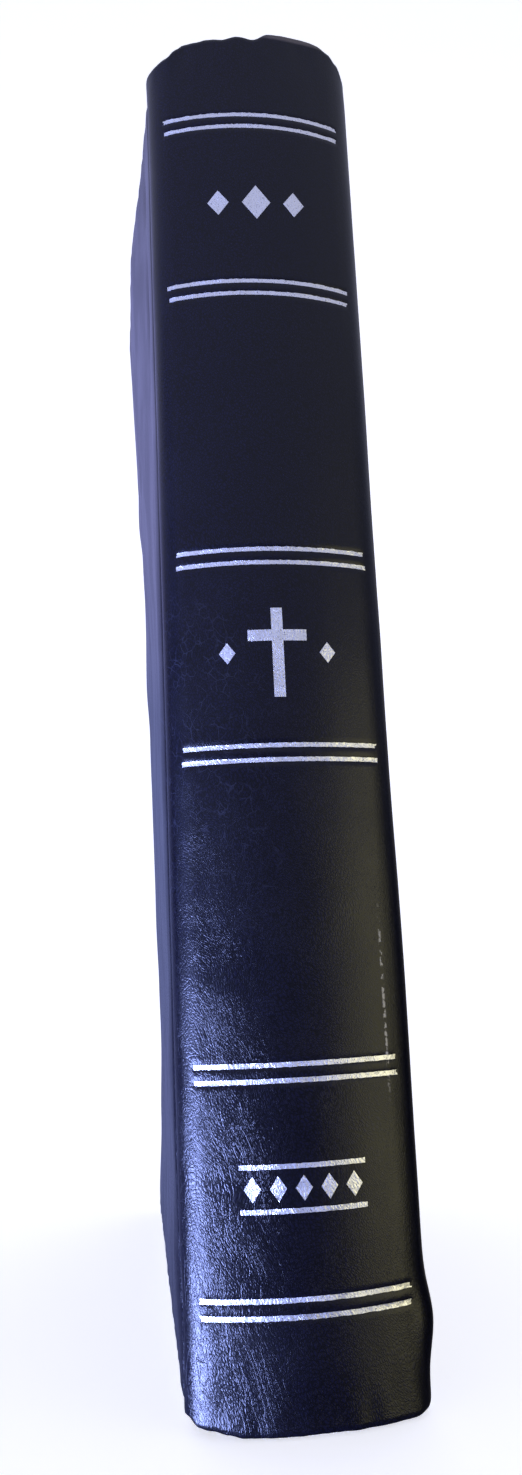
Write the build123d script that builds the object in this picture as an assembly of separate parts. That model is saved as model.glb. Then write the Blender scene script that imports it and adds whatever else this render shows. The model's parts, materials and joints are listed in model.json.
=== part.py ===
"""A flexible leather-cased, thread-sewn bible with a rounded spine, standing closed on its tail edges.

The book is drawn in a binder's frame and moved to its own frame when it is written out:
x runs from the back cover (-) to the front cover (+), v runs from the spine's crown towards the fore-edge,
and z runs up from the tail to the head. All sizes are millimetres.
"""

from build123d import *
from math import atan2, cos, degrees, radians, sin, sqrt
import os

# Pages
leaf_width = 132.5
leaf_height = 203.0
leaf_corner = 8.0
signatures_per_half = 12
signature_thickness = 1.12
signature_gap = 0.02
page_gap = 0.36  # between the two halves, where the ribbon lies

# Endpapers: the strip tipped to the block, the free leaf and the leaf pasted to the board
endpaper = 0.2
endpaper_gap = 0.08
pastedown_reveal = 3.0
flyleaf_setback = 0.8  # from the cover's fold line to the leaf's own

# Covers
square = 3.5  # how far the covers reach past the pages
board = 1.35
board_glue = 0.05
leather = 1.0
turn_in = 12.0
turn_in_thickness = 0.4
cover_corner = 10.0
edge_round = 0.7

# Spine
spine_radius = 39.0
shoulder_radius = 5.5
spine_fold_angle = 45.0  # on the shoulder, where the spine leather folds; 0 faces sideways, 90 faces outward
inlay_angle = 54.0
lining_angle = 58.0
inlay = 0.5
lining = 0.25
gauze = 0.2
thread = 0.2
thread_height = 0.5
sewing_stations = 6
sewing_margin = 0.5  # from the gauze's ends to the first and last stations
gauze_margin = 14.0  # from the gauze's ends to the head and tail of the pages
fold_gap = 0.2
turn_axis_clearance = 0.2
block_clearance = 0.3  # from the pieces on the spine to the pages, which turn away from them

# Joint grooves between the spine and the covers
groove_half_width = 3.24
groove_depth = 1.2
cover_axis_depth = 0.66  # below the cover's face, where the leather at the groove's bottom folds

# Head and tail bands
band_radius = 0.85
band_flange = 10.0

# Foil stamping
stamp_depth = 0.12
foil = 0.05
rule_width = 0.65
rule_spacing = 2.12
rule_end_angle = 54.0
lowest_rule_height = 15.6
narrow_panel = 30.05
wide_panel = 44.7
short_rule_length = 17.4
short_rule_spacing = 5.7
cross_height = 13.6
cross_width = 8.8
cross_bar = 1.7
cross_arm_height = 9.4  # from the foot to the middle of the arms
lozenge_large = (4.6, 6.0)
lozenge_small = (3.4, 4.4)
lozenge_pitch = 6.1
side_lozenge = (2.4, 3.2)
side_lozenge_reach = 7.5  # from the middle of the cross
bead_lozenge = (2.3, 3.3)
bead_pitch = 3.5
bead_count = 5

# Ribbon marker
ribbon_width = 6.0
ribbon_thickness = 0.22
ribbon_gutter = 9.0  # from the spine's crown to the ribbon's near edge
ribbon_head = 2.0  # below the pages' head
ribbon_tail = 0.8  # above the surface the book stands on
ribbon_slant = 2.5

# Worked out from the sizes above
half_block = page_gap / 2 + signatures_per_half * (signature_thickness + signature_gap)
flyleaf_x = half_block + endpaper_gap
pastedown_x = flyleaf_x + endpaper + endpaper_gap
cover_inner = pastedown_x + endpaper
board_outer = cover_inner + board
half_thickness = board_outer + leather
fold_offset = half_thickness - half_block
shoulder_x = half_thickness - shoulder_radius
shoulder_v = spine_radius - sqrt((spine_radius - shoulder_radius) ** 2 - shoulder_x**2)
crown_angle = degrees(atan2(spine_radius - shoulder_v, shoulder_x))
hinge_v = shoulder_v + groove_half_width
panel_v = hinge_v + groove_half_width
flyleaf_v = hinge_v + flyleaf_setback
cover_depth = shoulder_v + leaf_width + square
cover_height = leaf_height + 2 * square
signature_pitch = signature_thickness + signature_gap
thread_inner = fold_offset - block_clearance
thread_offset = thread_inner - thread
gauze_offset = thread_offset - gauze
lining_offset = gauze_offset - lining
crown_to_frame = Location((0, -cover_depth / 2, 0))

# Axes of the moving pieces on the front side, as (x, v); the back side mirrors them
turn_axis = (
    shoulder_x + (shoulder_radius + turn_axis_clearance) * cos(radians(spine_fold_angle)),
    shoulder_v - (shoulder_radius + turn_axis_clearance) * sin(radians(spine_fold_angle)),
)
cover_axis = (half_thickness - cover_axis_depth, hinge_v)
flyleaf_axis = (flyleaf_x + endpaper / 2, flyleaf_v)

# Heights of the middles of the six double rules
double_rule_heights = [lowest_rule_height]
for panel in (narrow_panel, wide_panel, narrow_panel, wide_panel, narrow_panel):
    double_rule_heights.append(double_rule_heights[-1] + panel)


def limited_round(wall):
    """The edge rounding, kept smaller than the wall it is on."""
    return min(edge_round, 0.8 * wall)


def mirrored(point):
    return (-point[0], point[1])


def shoulder_point(offset, angle):
    """A point on the shoulder, offset inward from the outer surface."""
    radius = shoulder_radius - offset
    return (shoulder_x + radius * cos(radians(angle)), shoulder_v - radius * sin(radians(angle)))


def shoulder_arc(offset, start, end):
    return ThreePointArc(*(shoulder_point(offset, a) for a in (start, (start + end) / 2, end)))


def upright(edges, bottom, height):
    """The solid above a closed outline of edges."""
    face = Face(Wire(edges))
    if face.normal_at().Z < 0:
        face = -face
    return Pos(0, 0, bottom) * extrude(face, amount=height)


def spine_band(outer, inner, end_angle, bottom, height):
    """A layer that follows the rounded spine from shoulder to shoulder, between two offsets."""
    middle = (end_angle + crown_angle) / 2
    points = {}
    for offset in (outer, inner):
        points[offset] = [shoulder_point(offset, a) for a in (end_angle, middle, crown_angle)]
    edges = []
    for offset in (outer, inner):
        end, mid, crown = points[offset]
        edges.append(ThreePointArc(end, mid, crown))
        edges.append(ThreePointArc(crown, (0, offset), mirrored(crown)))
        edges.append(ThreePointArc(mirrored(end), mirrored(mid), mirrored(crown)))
    edges.append(Line(points[outer][0], points[inner][0]))
    edges.append(Line(mirrored(points[outer][0]), mirrored(points[inner][0])))
    return upright(edges, bottom, height)


def groove_curve(x_from, v_from, x_to, v_to):
    """A smooth step between two depths, level at both ends."""
    middle = (v_from + v_to) / 2
    return Bezier((x_from, v_from), (x_from, middle), (x_to, middle), (x_to, v_to))


def other_side(solid):
    return mirror(solid, Plane.YZ)


def page_plate(x_low, x_high, v_low, v_high, z_low, z_high, corner):
    """A flat plate that lies parallel to the covers, with its two fore-edge corners rounded."""
    low, high = (x_low, v_low, z_low), (x_high, v_high, z_high)
    size = [b - a for a, b in zip(low, high)]
    middle = [(a + b) / 2 for a, b in zip(low, high)]
    plate = Pos(*middle) * Box(*size)
    corners = plate.edges().filter_by(Axis.X).group_by(Axis.Y)[-1]
    return fillet(corners, corner)


def save(name, *solids):
    shape = solids[0] if len(solids) == 1 else Compound(children=list(solids))
    export_step(crown_to_frame * shape, f"parts/{name}.step")


# Spine


def foil_area(sketch_solids, outer, inner):
    """The part of flat ornaments, pushed through the spine, that lies between two offsets."""
    layer = spine_band(outer, inner, rule_end_angle, 0, cover_height)
    return [solid & layer for solid in sketch_solids]


def double_rule_bottoms():
    for middle in double_rule_heights:
        for side in (-1, 1):
            yield middle + side * rule_spacing / 2 - rule_width / 2


def double_rules(outer, inner):
    return [spine_band(outer, inner, rule_end_angle, z, rule_width) for z in double_rule_bottoms()]


def panel_middle(lower, upper):
    return (double_rule_heights[lower] + double_rule_heights[upper]) / 2


def ornament(sketch, x, z):
    """A flat shape, drawn facing the reader, pushed through the crown of the spine."""
    stand = Plane(origin=(x, -1, z), x_dir=(1, 0, 0), z_dir=(0, -1, 0))
    return extrude(stand * sketch, amount=-shoulder_v - 1)


def lozenge(size):
    half_width, half_height = size[0] / 2, size[1] / 2
    points = ((-half_width, 0), (0, -half_height), (half_width, 0), (0, half_height))
    return make_face(Polyline(*points, close=True))


def short_rules():
    middle = panel_middle(0, 1)
    rule = Rectangle(short_rule_length, rule_width)
    return [ornament(rule, 0, middle + side * short_rule_spacing / 2) for side in (-1, 1)]


def cross():
    foot = panel_middle(2, 3) - cross_height / 2
    upright_bar = Pos(0, cross_height / 2) * Rectangle(cross_bar, cross_height)
    arms = Pos(0, cross_arm_height) * Rectangle(cross_width, cross_bar)
    return [ornament(upright_bar + arms, 0, foot)]


def lozenges():
    made = []
    top = panel_middle(4, 5)
    for place, size in ((-1, lozenge_small), (0, lozenge_large), (1, lozenge_small)):
        made.append(ornament(lozenge(size), place * lozenge_pitch, top))
    for place in (-1, 1):
        made.append(ornament(lozenge(side_lozenge), place * side_lozenge_reach, panel_middle(2, 3)))
    low = panel_middle(0, 1)
    for k in range(bead_count):
        made.append(ornament(lozenge(bead_lozenge), (k - (bead_count - 1) / 2) * bead_pitch, low))
    return made


def spine_leather():
    """The leather over the spine, turned in over the inlay at head and tail, with the stamped recesses."""
    turned = leather + inlay
    flap_inner = turned + turn_in_thickness
    body = spine_band(0, leather, spine_fold_angle, 0, cover_height)
    arcs = body.edges().filter_by(GeomType.CIRCLE)
    outer_arcs = [e for e in arcs if round(e.radius, 3) in (spine_radius, shoulder_radius)]
    body = fillet(outer_arcs, limited_round(leather))
    for bottom in (0, cover_height - turn_in):
        body += spine_band(turned, flap_inner, inlay_angle, bottom, turn_in)
    for bottom in (0, cover_height - leather):
        body += spine_band(leather, flap_inner, inlay_angle, bottom, leather)
    for recess in double_rules(0, stamp_depth):
        body -= recess
    for recess in foil_area(short_rules() + cross() + lozenges(), 0, stamp_depth):
        body -= recess
    return body


def spine_pieces():
    save("spine_leather", spine_leather())
    inlay_height = cover_height - 2 * leather
    save("spine_inlay", spine_band(leather, leather + inlay, inlay_angle, leather, inlay_height))
    save("foil_double_rules", *double_rules(stamp_depth - foil, stamp_depth))
    save("foil_short_rules", *foil_area(short_rules(), stamp_depth - foil, stamp_depth))
    save("foil_cross", *foil_area(cross(), stamp_depth - foil, stamp_depth))
    save("foil_lozenges", *foil_area(lozenges(), stamp_depth - foil, stamp_depth))
    lining_foot, lining_height = square + band_flange, leaf_height - 2 * band_flange
    lining_band = spine_band(lining_offset, gauze_offset, lining_angle, lining_foot, lining_height)
    save("spine_lining", lining_band)
    gauze_foot, gauze_height = square + gauze_margin, leaf_height - 2 * gauze_margin
    save("spine_gauze", spine_band(gauze_offset, thread_offset, lining_angle, gauze_foot, gauze_height))
    save("sewing_threads", *sewing_threads())
    head = band_at_head()
    save("headband", head)
    save("tailband", mirror(head, Plane.XY.offset(cover_height / 2)))


def sewing_threads():
    """One run of thread across the backs of the folds at each sewing station."""
    first = square + gauze_margin + sewing_margin
    step = (leaf_height - 2 * gauze_margin - 2 * sewing_margin - thread_height) / (sewing_stations - 1)
    stations = (first + k * step for k in range(sewing_stations))
    return [spine_band(thread_offset, thread_inner, lining_angle, z, thread_height) for z in stations]


def band_at_head():
    """A woven bead on the pages' head, with the flange that is glued down the spine."""
    top = square + leaf_height
    bead_bottom = top + block_clearance
    bead_offset = lining_offset + band_radius
    end = shoulder_point(bead_offset, crown_angle)
    path = ThreePointArc(mirrored(end), (0, bead_offset), end)
    section = Plane(origin=path @ 0, z_dir=path % 0) * Circle(band_radius)
    bead = Pos(0, 0, bead_bottom + band_radius) * sweep(section, path=path)
    flange_bottom = top - band_flange
    flange_height = bead_bottom + band_radius - flange_bottom
    return bead + spine_band(lining_offset, gauze_offset, lining_angle, flange_bottom, flange_height)


# Pages


def signature(middle_x):
    """A folded section: its round fold follows the spine, and its fore-edge follows the fold."""
    nose = signature_thickness / 2
    nose_offset = fold_offset + nose
    if abs(middle_x) < shoulder_point(nose_offset, crown_angle)[0]:
        nose_v = spine_radius - sqrt((spine_radius - nose_offset) ** 2 - middle_x**2)
    else:
        across = min(abs(middle_x) - shoulder_x, shoulder_radius - nose_offset)
        nose_v = shoulder_v - sqrt((shoulder_radius - nose_offset) ** 2 - across**2)
    left, right = middle_x - nose, middle_x + nose
    fore_edge = nose_v - nose + leaf_width
    outline = [
        ThreePointArc((left, nose_v), (middle_x, nose_v - nose), (right, nose_v)),
        Line((right, nose_v), (right, fore_edge)),
        Line((right, fore_edge), (left, fore_edge)),
        Line((left, fore_edge), (left, nose_v)),
    ]
    block = upright(outline, square, leaf_height)
    corners = block.edges().filter_by(Axis.X).group_by(Axis.Y)[-1]
    return fillet(corners, leaf_corner)


def page_pieces():
    """Signature 1 lies next to the front cover, and the last one next to the back cover."""
    for k in range(signatures_per_half):
        middle = half_block - (k + 0.5) * signature_pitch
        solid = signature(middle)
        save(f"signature_{k + 1:02d}", solid)
        save(f"signature_{2 * signatures_per_half - k:02d}", other_side(solid))


def endpaper_strip():
    return page_plate(
        half_block,
        half_block + endpaper,
        shoulder_v,
        flyleaf_v - fold_gap,
        square,
        square + leaf_height,
        endpaper / 2,
    )


def flyleaf():
    return page_plate(
        flyleaf_x,
        flyleaf_x + endpaper,
        flyleaf_v + fold_gap / 2,
        shoulder_v + leaf_width - signature_thickness / 2,
        square,
        square + leaf_height,
        leaf_corner,
    )


def ribbon():
    """A flat marker that hangs in the gutter from the head, cut at a slant at its end."""
    near, far = ribbon_gutter, ribbon_gutter + ribbon_width
    top = square + leaf_height - ribbon_head
    corners = ((near, top), (far, top), (far, ribbon_tail), (near, ribbon_tail + ribbon_slant))
    plane = Plane(origin=(-ribbon_thickness / 2, 0, 0), x_dir=(0, 1, 0), z_dir=(1, 0, 0))
    return extrude(plane * make_face(Polyline(*corners, close=True)), amount=ribbon_thickness)


# Covers


def joint_leather():
    """The leather round the front shoulder, from the spine's fold line to the cover's."""
    start = spine_fold_angle - degrees(fold_gap / shoulder_radius)
    end_v = hinge_v - fold_gap / 2
    inner_x = half_thickness - leather
    outline = [
        shoulder_arc(0, start, 0),
        groove_curve(half_thickness, shoulder_v, half_thickness - groove_depth, end_v),
        Line((half_thickness - groove_depth, end_v), (inner_x - groove_depth, end_v)),
        groove_curve(inner_x, shoulder_v, inner_x - groove_depth, end_v),
        shoulder_arc(leather, start, 0),
        Line(shoulder_point(0, start), shoulder_point(leather, start)),
    ]
    return upright(outline, 0, cover_height)


def cover_leather():
    """The outer skin of the front cover with its edges turned in round the board."""
    start_v = hinge_v + fold_gap / 2
    inner_x = board_outer
    skin = upright(
        [
            groove_curve(half_thickness - groove_depth, start_v, half_thickness, panel_v),
            Line((half_thickness, panel_v), (half_thickness, cover_depth)),
            Line((half_thickness, cover_depth), (inner_x, cover_depth)),
            Line((inner_x, cover_depth), (inner_x, panel_v)),
            groove_curve(inner_x - groove_depth, start_v, inner_x, panel_v),
            Line((half_thickness - groove_depth, start_v), (inner_x - groove_depth, start_v)),
        ],
        0,
        cover_height,
    )
    corners = skin.edges().filter_by(Axis.X).group_by(Axis.Y)[-1]
    skin = fillet(corners, cover_corner)
    rim = page_plate(cover_inner, inner_x, panel_v, cover_depth, 0, cover_height, cover_corner)
    skin += rim
    outer_face = skin.faces().filter_by(Axis.X).sort_by(Axis.X)[-1]
    outline = [e for e in outer_face.edges() if e.center().Y > panel_v + edge_round]
    skin = fillet(outline, limited_round(leather))
    skin -= page_plate(
        cover_inner + turn_in_thickness,
        inner_x,
        panel_v,
        cover_depth - leather,
        leather,
        cover_height - leather,
        cover_corner - leather,
    )
    skin -= page_plate(
        cover_inner,
        inner_x,
        panel_v,
        cover_depth - turn_in,
        turn_in,
        cover_height - turn_in,
        leather,
    )
    return skin


def cover_board():
    """A flexible board that fills the leather, pressed thinner where the turned-in edges lie over it."""
    edge = leather + board_glue
    rim = page_plate(
        cover_inner + turn_in_thickness + board_glue,
        board_outer - board_glue,
        panel_v + board_glue,
        cover_depth - edge,
        edge,
        cover_height - edge,
        cover_corner - edge,
    )
    inside = turn_in + board_glue
    raised = page_plate(
        cover_inner,
        board_outer - board_glue,
        panel_v + board_glue,
        cover_depth - inside,
        inside,
        cover_height - inside,
        leather,
    )
    return rim + raised


def pastedown():
    return page_plate(
        cover_inner - endpaper,
        cover_inner,
        panel_v + endpaper,
        cover_depth - pastedown_reveal,
        pastedown_reveal,
        cover_height - pastedown_reveal,
        cover_corner - pastedown_reveal,
    )


def side_pieces():
    """The pieces that the front and the back share, mirrored."""
    pieces = {
        "joint_leather": joint_leather(),
        "cover_leather": cover_leather(),
        "board": cover_board(),
        "pastedown": pastedown(),
        "flyleaf": flyleaf(),
        "endpaper_strip": endpaper_strip(),
    }
    for name, solid in pieces.items():
        save(f"front_{name}", solid)
        save(f"back_{name}", other_side(solid))


def print_axes():
    """Where the front's upright hinge lines stand in the book's own frame."""
    for name, (x, v) in (("block", turn_axis), ("cover", cover_axis), ("flyleaf", flyleaf_axis)):
        print(f"front {name} turns about x {x:.3f}, y {v - cover_depth / 2:.3f}")


def main():
    os.makedirs("parts", exist_ok=True)
    spine_pieces()
    page_pieces()
    side_pieces()
    save("ribbon_marker", ribbon())
    print_axes()


if __name__ == "__main__":
    main()
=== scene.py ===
import json
import math
import random

import bpy
from mathutils import Matrix, Vector, noise


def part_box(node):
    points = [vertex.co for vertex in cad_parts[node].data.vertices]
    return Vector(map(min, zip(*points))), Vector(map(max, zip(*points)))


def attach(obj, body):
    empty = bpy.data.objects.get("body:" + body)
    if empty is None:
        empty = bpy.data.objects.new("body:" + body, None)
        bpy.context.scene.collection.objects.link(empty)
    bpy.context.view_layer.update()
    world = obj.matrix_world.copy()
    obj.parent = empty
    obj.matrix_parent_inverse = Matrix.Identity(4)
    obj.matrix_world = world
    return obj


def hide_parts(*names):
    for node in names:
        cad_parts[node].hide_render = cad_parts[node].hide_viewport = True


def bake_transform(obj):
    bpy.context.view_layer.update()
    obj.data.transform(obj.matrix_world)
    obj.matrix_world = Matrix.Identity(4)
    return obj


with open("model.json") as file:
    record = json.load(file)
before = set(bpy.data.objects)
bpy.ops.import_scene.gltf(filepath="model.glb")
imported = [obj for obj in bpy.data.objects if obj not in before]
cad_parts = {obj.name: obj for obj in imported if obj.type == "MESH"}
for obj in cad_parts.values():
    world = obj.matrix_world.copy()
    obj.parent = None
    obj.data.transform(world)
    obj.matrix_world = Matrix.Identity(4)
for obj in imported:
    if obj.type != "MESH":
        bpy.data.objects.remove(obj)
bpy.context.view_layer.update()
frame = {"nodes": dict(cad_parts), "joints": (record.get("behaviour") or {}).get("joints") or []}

# ---------------------------------------------------------------------------------------------
# Sizes. Lengths are in millimetres until place() turns them into metres. x runs across the book,
# v runs from the spine's crown to the fore-edge, z runs up from the tail. s is the distance round
# the outside of the case from the middle of the spine, positive on the front cover's side.
# ---------------------------------------------------------------------------------------------
MM = 0.001
spine_low, spine_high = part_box("spine_leather")
cover_low, cover_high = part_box("front_cover_leather")
joint_low, joint_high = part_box("front_joint_leather")
board_low, board_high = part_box("front_board")
pasted_low, pasted_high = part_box("front_pastedown")
pages_low, pages_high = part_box("signature_01")
strip_low, strip_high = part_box("front_endpaper_strip")
CROWN_Y = spine_low.y
HEIGHT = spine_high.z / MM
HALF = cover_high.x / MM
DEPTH = (cover_high.y - CROWN_Y) / MM
COVER_INNER = board_low.x / MM
PAGE_TAIL = pages_low.z / MM
PAGE_HEAD = pages_high.z / MM
HINGES = {j["name"]: [value / MM for value in j["pos_m"]] for j in frame["joints"]}
GROOVE_V = HINGES["front_cover_open"][1] - CROWN_Y / MM

SPINE_RADIUS = 39.0
SHOULDER_RADIUS = 5.5
SHOULDER_X = HALF - SHOULDER_RADIUS
SHOULDER_V = SPINE_RADIUS - math.sqrt((SPINE_RADIUS - SHOULDER_RADIUS) ** 2 - SHOULDER_X**2)
CROWN_TURN = math.asin(SHOULDER_X / (SPINE_RADIUS - SHOULDER_RADIUS))
CROWN_RUN = SPINE_RADIUS * CROWN_TURN
SHOULDER_TURN = math.pi / 2 - CROWN_TURN
GROOVE_START = CROWN_RUN + SHOULDER_RADIUS * SHOULDER_TURN
GROOVE_HALF = GROOVE_V - SHOULDER_V
GROOVE_DEPTH = 1.2
PANEL_START = GROOVE_START + 2 * GROOVE_HALF
SKIN_SEAM = CROWN_RUN + 1.95  # where the spine's skin hands over to the shoulder's
JOINT_SEAM = GROOVE_START + 0.55 * GROOVE_HALF  # where the shoulder's skin hands over to the cover's
CORNER = 10.0
EDGE_ROLL = 0.95  # how far the leather's rolled edge reaches from its flat face
TURN_IN = 12.0
FLAP = 0.4

RULE_WIDTH = 0.65
RULE_SPACING = 2.12
RULE_END = CROWN_RUN + 1.565
LOWEST_RULE = 15.6
NARROW_PANEL = 30.05
WIDE_PANEL = 44.7
RULE_HEIGHTS = [LOWEST_RULE]
for panel in (NARROW_PANEL, WIDE_PANEL, NARROW_PANEL, WIDE_PANEL, NARROW_PANEL):
    RULE_HEIGHTS.append(RULE_HEIGHTS[-1] + panel)
SHORT_RULE_HALF = 8.7
SHORT_RULE_SPACING = 5.7
PRESS_DEPTH = 0.06
MIDDLE_CLOSING = 0.08  # how far each half of the block closes the ribbon's gap at the fore-edge
FORE_EDGE_LEAN = 1.7  # how much nearer to the middle each cover stands at its fore-edge
FOIL_LIFT = 0.02
FOIL_SINK = 0.05

FRONT, BACK = 1, -1
SIDE_NAMES = {FRONT: "front", BACK: "back"}


def smooth(low, high, value):
    """0 below low, 1 above high and an even ease between them."""
    t = min(1.0, max(0.0, (value - low) / (high - low)))
    return t * t * (3 - 2 * t)


def hump(value, middle, width):
    """A soft bump of height 1 at its middle."""
    return math.exp(-(((value - middle) / width) ** 2))


def ripple(a, b, seed):
    """Gentle unevenness between -1 and 1."""
    return noise.noise(Vector((a, b, seed)))


def place(x, v, z):
    return (x * MM, CROWN_Y + v * MM, z * MM)


# ---------------------------------------------------------------------------------------------
# The outside of the case
# ---------------------------------------------------------------------------------------------


def groove_step(t, x_from, x_to, v_from, v_to):
    """A point and outward normal on the eased step between two depths."""
    middle = (v_from + v_to) / 2
    x = x_from + (x_to - x_from) * (3 * t * t - 2 * t**3)
    v = v_from * (1 - t) ** 3 + 3 * middle * t * (1 - t) + v_to * t**3
    dx = (x_to - x_from) * 6 * t * (1 - t)
    dv = 3 * (middle - v_from) * (1 - t) ** 2 + 3 * (v_to - middle) * t * t
    length = math.hypot(dx, dv)
    return x, v, dv / length, -dx / length


def outline(s):
    """The case's cross-section at s: its point and its outward normal."""
    side = FRONT if s >= 0 else BACK
    run = abs(s)
    if run <= CROWN_RUN:
        turn = run / SPINE_RADIUS
        x, v = SPINE_RADIUS * math.sin(turn), SPINE_RADIUS * (1 - math.cos(turn))
        nx, nv = math.sin(turn), -math.cos(turn)
    elif run <= GROOVE_START:
        turn = CROWN_TURN + (run - CROWN_RUN) / SHOULDER_RADIUS
        x, v = SHOULDER_X + SHOULDER_RADIUS * math.sin(turn), SHOULDER_V - SHOULDER_RADIUS * math.cos(turn)
        nx, nv = math.sin(turn), -math.cos(turn)
    elif run <= GROOVE_START + GROOVE_HALF:
        t = (run - GROOVE_START) / GROOVE_HALF
        x, v, nx, nv = groove_step(t, HALF, HALF - GROOVE_DEPTH, SHOULDER_V, GROOVE_V)
    elif run <= PANEL_START:
        t = (run - GROOVE_START - GROOVE_HALF) / GROOVE_HALF
        x, v, nx, nv = groove_step(t, HALF - GROOVE_DEPTH, HALF, GROOVE_V, GROOVE_V + GROOVE_HALF)
    else:
        x, v, nx, nv = HALF, GROOVE_V + GROOVE_HALF + run - PANEL_START, 1.0, 0.0
    return side * x, v, side * nx, nv


PANEL_V = GROOVE_V + GROOVE_HALF


def run_at(x):
    """The distance round the case of a point on the spine's crown that stands x from its middle."""
    return SPINE_RADIUS * math.asin(x / SPINE_RADIUS)


def run_of(v):
    """The distance round the case of a point on a cover panel at depth v."""
    return PANEL_START + v - PANEL_V


def fore_edge_share(v):
    """0 at the joint and 1 at the fore-edge."""
    return min(1.0, max(0.0, (v - PANEL_V) / (DEPTH - PANEL_V)))


def along(table, place_on):
    """Reads a table of (place, height) rows with an even ease between them."""
    for (start, height), (end, next_height) in zip(table, table[1:]):
        if place_on <= end:
            return height + (next_height - height) * smooth(start, end, place_on)
    return table[-1][1]


# Along z: how far the back cover's fore-edge stands out from the flat case
BACK_BOW = (
    (0.0, 0.0), (22.0, -1.0), (40.0, -1.4), (55.0, -1.3), (72.0, -0.92), (104.0, -0.8), (120.0, -0.6),
    (136.0, 0.0), (152.0, -0.2), (168.0, -0.1), (184.0, 1.0), (200.0, 0.86), (210.0, 1.1),
)
BACK_SWELL = 2.3  # how far the back cover swells near the head, between the joint and the fore-edge
BACK_FOLD_HEIGHT = 167.0
BACK_FOLD_DEPTH = 0.35
FRONT_SWELL = 0.9


def cover_bow(side, v, z):
    """How far the limp cover stands off its flat shape. It leans in where the pages are pressed thinner."""
    if side == BACK:
        swell = BACK_SWELL * smooth(PANEL_V, 60.0, v) * (1 - smooth(85.0, DEPTH, v))
        lifted = 0.62 * smooth(130.0, 162.0, z) + 0.38 * smooth(180.0, 206.0, z)
        fold_height = BACK_FOLD_HEIGHT + 3.0 * ripple(v / 40, 0.5, 4.2)
        fold = BACK_FOLD_DEPTH * hump(z, fold_height, 3.0) * smooth(30.0, 90.0, v)
        bow = along(BACK_BOW, z) * fore_edge_share(v) + lifted * swell - fold
        return bow + 0.4 * hump(v, 25.0, 10.0) * hump(z, 42.0, 14.0)
    lean = -FORE_EDGE_LEAN * fore_edge_share(v) * smooth(4.0, 36.0, z)
    return lean + FRONT_SWELL * smooth(PANEL_V, 60.0, v) * (1 - smooth(10.0, 60.0, z))


def pressed(s, z):
    """1 under a stamped rule and 0 elsewhere."""
    if abs(s) > RULE_END:
        return 0.0
    for middle in RULE_HEIGHTS:
        for step in (-1, 1):
            if abs(z - middle - step * RULE_SPACING / 2) < RULE_WIDTH / 2 + 0.01:
                return 1.0
    return 0.0


def hide_relief(s, v, z):
    """How far the leather's face stands out from the plain case at one place."""
    side = FRONT if s >= 0 else BACK
    relief = 0.10 * ripple(s / 15, z / 24, 3.1) + 0.025 * ripple(s / 4.5, z / 9, 8.4)
    relief += 0.006 * ripple(s / 1.6, z / 2.6, 5.7)
    worn = smooth(2.0, -9.0, s) if s < 2 else 0.0
    worn *= (1 - smooth(50.0, 110.0, z)) * (1 - smooth(18.0, 30.0, abs(s)))
    relief += worn * 0.022 * ripple((s + 0.35 * z) / 1.4, z / 11, 1.9)
    relief -= PRESS_DEPTH * pressed(s, z)
    gather = smooth(HEIGHT - 7.0, HEIGHT - 0.5, z) + smooth(7.0, 0.5, z)
    relief += gather * 0.16 * ripple(s / 2.4, z / 9, 6.6)
    if v > SHOULDER_V:
        relief += cover_bow(side, v, z) * smooth(SHOULDER_V, PANEL_V, v)
    if side == FRONT:
        bulge = 0.38 + 0.25 * hump(z, 52.0, 25.0) + 1.0 * hump(z, 11.5, 4.8)
        relief += bulge * smooth(14.0, 18.5, s) * (1 - smooth(GROOVE_V, 22.0, v))
    else:
        relief -= hump(v, GROOVE_V, 3.2) * (1.0 * hump(z, 14.0, 8.0) + 0.5 * hump(z, 120.0, 60.0))
        relief += 0.5 * hump(v, 18.0, 3.4) * (hump(z, 18.0, 9.0) + 0.8 * hump(z, 105.0, 55.0))
        relief -= 1.2 * hump(v, 25.0, 0.9) * (hump(z, 176.0, 9.0) + 0.7 * hump(z, 197.0, 5.0))
    return relief


# Along s: how far the turned-over head and tail stand up from a straight cut
HEAD_EDGE = (
    (-22.0, -1.6), (-17.0, -1.9), (-13.9, -1.35), (-12.3, -0.1), (-10.8, 0.65), (-8.4, 0.7), (-7.0, 1.05),
    (-4.4, 0.8), (-1.7, 1.4), (0.8, 0.95), (3.6, 2.25), (6.0, 2.35), (9.0, 2.4), (12.2, 2.1), (14.0, 1.4),
    (16.0, 0.3), (18.0, -1.6), (22.0, -1.9),
)
TAIL_EDGE = (
    (-22.0, 1.1), (-18.0, 1.7), (-16.0, 0.9), (-13.6, 0.75), (-11.5, 0.4), (-9.6, 0.03), (-2.0, 0.03),
    (0.0, 0.1), (3.0, 0.1), (6.0, 0.03), (14.6, 0.03), (17.0, 0.3), (19.0, 0.7), (22.0, 0.9),
)


def edge_shift(s, z):
    """How far the turned-over head and tail stand up from a straight cut."""
    head = along(HEAD_EDGE, s) + 0.10 * ripple(s / 1.3, 0.4, 2.2)
    tail = along(TAIL_EDGE, s) + 0.08 * abs(ripple(s / 1.6, 0.2, 9.2))
    return head * smooth(HEIGHT - 9.0, HEIGHT, z) + tail * (1 - smooth(0.0, 8.0, z))


def skin_point(s, z, depth, x=None, v=None):
    """A point of the leather at s and z, a depth below its face."""
    if x is None:
        x, v, nx, nv = outline(s)
    else:
        nx, nv = (1.0 if s >= 0 else -1.0), 0.0
    out = hide_relief(s, v, z) - depth
    return place(x + nx * out, v + nv * out, z + edge_shift(s, z))


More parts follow.
